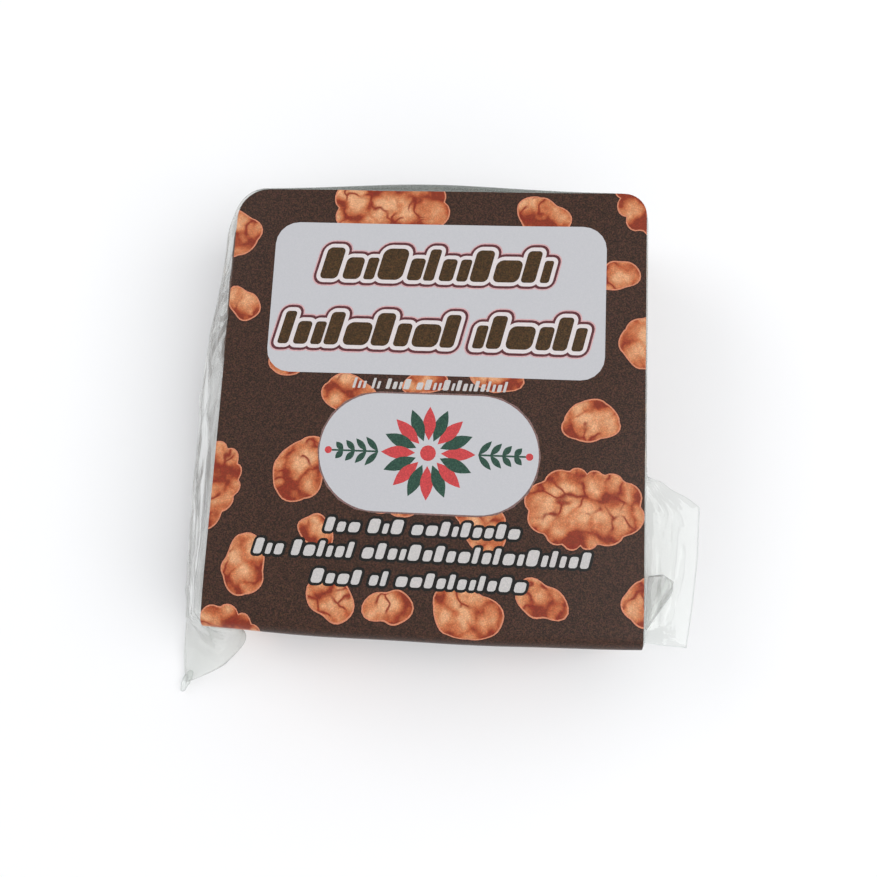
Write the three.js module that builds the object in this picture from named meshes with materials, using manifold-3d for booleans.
// A slab of fudge sealed in clear film, with a paper label stuck over its face.
// It lies on its back. +Z is up and out of the face, +Y is the top of the label, +X its right.
// The origin is on the resting face, under the middle of the label's width. Millimetres.
import * as THREE from 'three';
import { mergeVertices } from 'three/addons/utils/BufferGeometryUtils.js';
import Module from 'manifold-3d';

const wasm = await Module();
wasm.setup();

// Driving dimensions: the label
const LABEL_WIDTH = 63.5;
const LABEL_THICKNESS = 0.3;
const LABEL_CORNER = 4.5;
const LABEL_GAP = 0.3; // between the film and the label
const LABEL_TOP = 35; // y of the label's upper edge
const LABEL_ON_BACK = 12; // length of the stretch stuck to the flat back
const RECESS_DEPTH = 0.7; // how deep that stretch is let into the pack's back

// Driving dimensions: the slab in its film
const PACK_THICKNESS = 21.3; // over the label
const PACK_BOTTOM = -33.2; // y of the label where it wraps the lower side
const BODY_WIDTH = 64.2;
const BODY_TOP = 36; // y of the film's upper side
const FACE_BEND = 2; // radius from the face round to the lower side
const BACK_BEND = 4; // radius from the lower side to the back
const PLAN_CORNER = 4.3; // radius of its two upper corners, as seen on the face
const RIM = 1.8; // radius of every other edge
const RIM_FLAT = 0.2; // least radius left where a rounded edge meets a flat side

// Driving dimensions: the film's two ends
const FIN_ROOT = BODY_WIDTH / 2 - 1; // how far inside the slab's side each end starts
const FIN_ROOT_LOW = 1.2; // z of an end's lower layer at the slab
const FIN_ROOT_HIGH = 19; // z of its upper layer there
const FIN_EDGE = 1; // thickness of the flattened film at its free edge
const LEFT_FIN_TOP = 31;
const LEFT_FIN_NARROW = 35; // |x| of the free edge at the fin's upper end
const LEFT_FIN_WIDE = 40.4; // |x| of the free edge from its middle down to the tail
const LEFT_FIN_WIDE_FROM = 4; // y where that width is reached
const LEFT_EDGE_HEIGHT = 12; // z of the free edge at the fin's upper end
const LEFT_SETTLED = 0.5; // share of its height that the fin has lost half-way out
const TAIL_END = -44.6; // y of the tail below the lower left corner
const TAIL_HEIGHT = 0.7;
const TAIL_WIDTH = 0.6;
const EAR_ROOT = 28.5; // |x| where the ear leaves the lower side
const EAR_CURVE = 1.6; // how hollow the ear's outline is
const EAR_CLOSING = 1.4; // how fast its two layers close up towards the tail
const TONGUE_TOP = -7.2;
const TONGUE_WIDE = 42.4; // x of the tongue's free edge at its widest
const TONGUE_TAPER = 1.4; // how much narrower it is at its foot
const TONGUE_FOLD = 36; // x of the folded corner at the tongue's upper end
const TONGUE_SHOULDER = 4.2; // length over which the upper edge slopes out
const TONGUE_HIGH = 6.5; // z of its free edge at the upper end
const TONGUE_LOW = 4.5; // z of its free edge at the foot
const TONGUE_SETTLED = 0.85; // share of its height that the tongue has lost half-way out
const FOOT_INSET = 0.4; // how far from the lower side the ends' last full slice is

const CORNER_STEPS = 7;
const LEFT_STEPS = 14;
const EAR_STEPS = 8;
const TONGUE_STEPS = 8;
const BEND_STEPS = 10;
const FULL_TURN = Math.PI * 2;
const SKIN = LABEL_THICKNESS + LABEL_GAP;
const BODY_FACE = PACK_THICKNESS - SKIN;
const BODY_BOTTOM = PACK_BOTTOM + SKIN;

// A closed mesh as a manifold solid
function solidFrom(geometry) {
  const bare = geometry.clone();
  bare.deleteAttribute('normal');
  bare.deleteAttribute('uv');
  const merged = mergeVertices(bare, 1e-4);
  return new wasm.Manifold(new wasm.Mesh({
    numProp: 3,
    vertProperties: new Float32Array(merged.attributes.position.array),
    triVerts: new Uint32Array(merged.index.array),
  }));
}

function geometryFrom(solid) {
  const mesh = solid.getMesh();
  const geometry = new THREE.BufferGeometry();
  geometry.setAttribute('position', new THREE.BufferAttribute(new Float32Array(mesh.vertProperties), 3));
  geometry.setIndex(new THREE.BufferAttribute(new Uint32Array(mesh.triVerts), 1));
  geometry.computeVertexNormals();
  return geometry;
}

// A closed skin over rings of points that all run the same way round, with flat ends
function loft(rings) {
  const count = rings[0].length;
  const positions = rings.flat().flatMap((p) => [p.x, p.y, p.z]);
  const faces = [];
  for (let r = 0; r < rings.length - 1; r += 1) {
    for (let i = 0; i < count; i += 1) {
      const a = r * count + i;
      const b = r * count + ((i + 1) % count);
      faces.push(a, b, b + count, a, b + count, a + count);
    }
  }
  const last = (rings.length - 1) * count;
  for (let i = 1; i < count - 1; i += 1) {
    faces.push(0, i + 1, i, last, last + i, last + i + 1);
  }
  const geometry = new THREE.BufferGeometry();
  geometry.setAttribute('position', new THREE.Float32BufferAttribute(positions, 3));
  geometry.setIndex(faces);
  geometry.computeVertexNormals();
  return geometry;
}

function ramp(value, from, to) {
  return THREE.MathUtils.clamp((value - from) / (to - from), 0, 1);
}

function smoothRamp(value, from, to) {
  const t = ramp(value, from, to);
  return t * t * (3 - 2 * t);
}

// Evenly spaced values, both ends included
function spread(from, to, steps) {
  return Array.from({ length: steps + 1 }, (_, i) => from + ((to - from) * i) / steps);
}

// The y of the slab's upper side at x, lower where the plan's corner rounds off
function upperSide(x) {
  const cut = THREE.MathUtils.clamp(Math.abs(x) - (BODY_WIDTH / 2 - PLAN_CORNER), 0, PLAN_CORNER);
  return BODY_TOP - PLAN_CORNER + Math.sqrt(PLAN_CORNER ** 2 - cut ** 2);
}

// The slab's side view, in the plane x, shrunk inwards by inset
function sideView(x, inset) {
  const quarter = FULL_TURN / 4;
  const top = upperSide(x);
  const corners = [
    { y: top - RIM, z: BODY_FACE - RIM, radius: RIM },
    { y: BODY_BOTTOM + FACE_BEND, z: BODY_FACE - FACE_BEND, radius: FACE_BEND },
    { y: BODY_BOTTOM + BACK_BEND, z: BACK_BEND, radius: BACK_BEND },
    { y: top - RIM, z: RIM, radius: RIM },
  ];
  return corners.flatMap(({ y, z, radius }, corner) => spread(0, quarter, CORNER_STEPS).map((a) => {
    const angle = corner * quarter + a;
    const r = radius - inset;
    return new THREE.Vector3(x, y + r * Math.cos(angle), z + r * Math.sin(angle));
  }));
}

// The film-covered slab, thinned on its back where the label's end lies flush
function body() {
  const rim = RIM - RIM_FLAT;
  const start = BODY_WIDTH / 2 - PLAN_CORNER;
  const onFace = spread(0, PLAN_CORNER - rim, CORNER_STEPS).map((step) => ({ out: start + step, inset: 0 }));
  const onRim = spread(0, FULL_TURN / 4, CORNER_STEPS).slice(1).map((a) => (
    { out: BODY_WIDTH / 2 - rim + rim * Math.sin(a), inset: rim * (1 - Math.cos(a)) }));
  const right = [...onFace, ...onRim];
  const rings = [
    ...right.map(({ out, inset }) => sideView(-out, inset)).reverse(),
    ...right.map(({ out, inset }) => sideView(out, inset)),
  ];
  const recessEnd = PACK_BOTTOM + BACK_BEND + LABEL_ON_BACK + LABEL_GAP;
  const length = recessEnd - PACK_BOTTOM + BACK_BEND;
  const recess = new THREE.BoxGeometry(2 * BODY_WIDTH, length, 2 * RECESS_DEPTH);
  recess.translate(0, recessEnd - length / 2, 0);
  return solidFrom(loft(rings)).subtract(solidFrom(recess));
}

// One slice across a flattened end: low to high at the slab, thin at the free edge
function finRing(y, root, edge, low, high, edgeHeight, settled) {
  const mid = (root + edge) / 2;
  const edgeLow = edgeHeight - FIN_EDGE / 2;
  const edgeHigh = edgeHeight + FIN_EDGE / 2;
  return [
    new THREE.Vector3(root, y, high),
    new THREE.Vector3(mid, y, THREE.MathUtils.lerp(high, edgeHigh, settled)),
    new THREE.Vector3(edge, y, edgeHigh),
    new THREE.Vector3(edge, y, edgeLow),
    new THREE.Vector3(mid, y, THREE.MathUtils.lerp(low, edgeLow, settled)),
    new THREE.Vector3(root, y, low),
  ];
}

// The left end: a gathered fin down the whole side, drawn out into a tail below the corner
function leftFin() {
  const earStart = BODY_BOTTOM + FOOT_INSET;
  const fin = spread(LEFT_FIN_TOP, earStart, LEFT_STEPS);
  const tail = spread(earStart, TAIL_END, EAR_STEPS).slice(1);
  const rings = [...fin, ...tail].map((y) => {
    const wide = smoothRamp(y, LEFT_FIN_TOP, LEFT_FIN_WIDE_FROM);
    const edge = -THREE.MathUtils.lerp(LEFT_FIN_NARROW, LEFT_FIN_WIDE, wide);
    const height = THREE.MathUtils.lerp(LEFT_EDGE_HEIGHT, TAIL_HEIGHT, smoothRamp(y, LEFT_FIN_TOP, TAIL_END));
    const ear = ramp(y, earStart, TAIL_END);
    const root = ear > 0 ? THREE.MathUtils.lerp(-EAR_ROOT, edge + TAIL_WIDTH, ear ** EAR_CURVE) : -FIN_ROOT;
    const open = (1 - ear) ** EAR_CLOSING;
    const low = THREE.MathUtils.lerp(height - FIN_EDGE / 2, FIN_ROOT_LOW, open);
    const high = THREE.MathUtils.lerp(height + FIN_EDGE / 2, FIN_ROOT_HIGH, open);
    return finRing(y, root, edge, low, high, height, LEFT_SETTLED);
  });
  return solidFrom(loft(rings));
}

// The right end: a tongue of folded film beside the lower half
function rightTongue() {
  const tongueEnd = BODY_BOTTOM + FOOT_INSET;
  const stations = [...spread(tongueEnd, TONGUE_TOP - TONGUE_SHOULDER, TONGUE_STEPS), TONGUE_TOP];
  const rings = stations.map((y) => {
    const widest = TONGUE_WIDE - TONGUE_TAPER * ramp(y, TONGUE_TOP, tongueEnd);
    const edge = y === TONGUE_TOP ? TONGUE_FOLD : widest;
    const height = THREE.MathUtils.lerp(TONGUE_HIGH, TONGUE_LOW, smoothRamp(y, TONGUE_TOP, tongueEnd));
    return finRing(y, FIN_ROOT, edge, FIN_ROOT_LOW, FIN_ROOT_HIGH, height, TONGUE_SETTLED);
  });
  return solidFrom(loft(rings));
}

// The room that the label takes as it wraps the slab, with its gap on both sides
function labelRoom() {
  const reach = LABEL_WIDTH / 2 + LABEL_GAP;
  const outer = loft([-reach, reach].map((x) => sideView(x, -SKIN - LABEL_GAP)));
  const inner = loft([-2 * reach, 2 * reach].map((x) => sideView(x, 0)));
  return solidFrom(outer).subtract(solidFrom(inner));
}

// Where the label's outer face runs in the side view, from its upper edge to its end on the back
function labelRun() {
  const quarter = FULL_TURN / 4;
  const cornerStations = spread(0, 1, CORNER_STEPS).map((t) => LABEL_CORNER * (1 - Math.cos(t * quarter)));
  const run = [];
  const add = (y, z, outY, outZ) => {
    const before = run.at(-1);
    const length = before ? before.length + Math.hypot(y - before.y, z - before.z) : 0;
    run.push({ y, z, outY, outZ, length });
  };
  cornerStations.forEach((s) => add(LABEL_TOP - s, PACK_THICKNESS, 0, 1));
  spread(0, quarter, BEND_STEPS).forEach((a) => add(
    PACK_BOTTOM + FACE_BEND - FACE_BEND * Math.sin(a),
    PACK_THICKNESS - FACE_BEND + FACE_BEND * Math.cos(a),
    -Math.sin(a),
    Math.cos(a),
  ));
  spread(0, quarter, BEND_STEPS).forEach((a) => add(
    PACK_BOTTOM + BACK_BEND - BACK_BEND * Math.cos(a),
    BACK_BEND - BACK_BEND * Math.sin(a),
    -Math.cos(a),
    -Math.sin(a),
  ));
  const end = PACK_BOTTOM + BACK_BEND + LABEL_ON_BACK;
  [...cornerStations].reverse().forEach((s) => add(end - s, 0, 0, -1));
  return run;
}

// The label: a strip with round corners, bent round the slab
function label() {
  const run = labelRun();
  const total = run.at(-1).length;
  const rings = run.map((p) => {
    const fromEnd = Math.min(p.length, total - p.length, LABEL_CORNER);
    const inset = LABEL_CORNER - Math.sqrt(LABEL_CORNER ** 2 - (LABEL_CORNER - fromEnd) ** 2);
    const half = LABEL_WIDTH / 2 - inset;
    const innerY = p.y - p.outY * LABEL_THICKNESS;
    const innerZ = p.z - p.outZ * LABEL_THICKNESS;
    return [
      new THREE.Vector3(-half, p.y, p.z),
      new THREE.Vector3(-half, innerY, innerZ),
      new THREE.Vector3(half, innerY, innerZ),
      new THREE.Vector3(half, p.y, p.z),
    ];
  });
  return loft(rings);
}

function named(name, geometry, material) {
  const mesh = new THREE.Mesh(geometry, new THREE.MeshStandardMaterial(material));
  mesh.name = name;
  return mesh;
}

const ends = leftFin().add(rightTongue()).subtract(labelRoom());
const filmPack = body().add(ends);

const group = new THREE.Group();
group.add(named('film_pack', geometryFrom(filmPack), { color: 0xd9dcdb, roughness: 0.15, metalness: 0 }));
group.add(named('label', label(), { color: 0x4a3b35, roughness: 0.45, metalness: 0 }));

export default group;
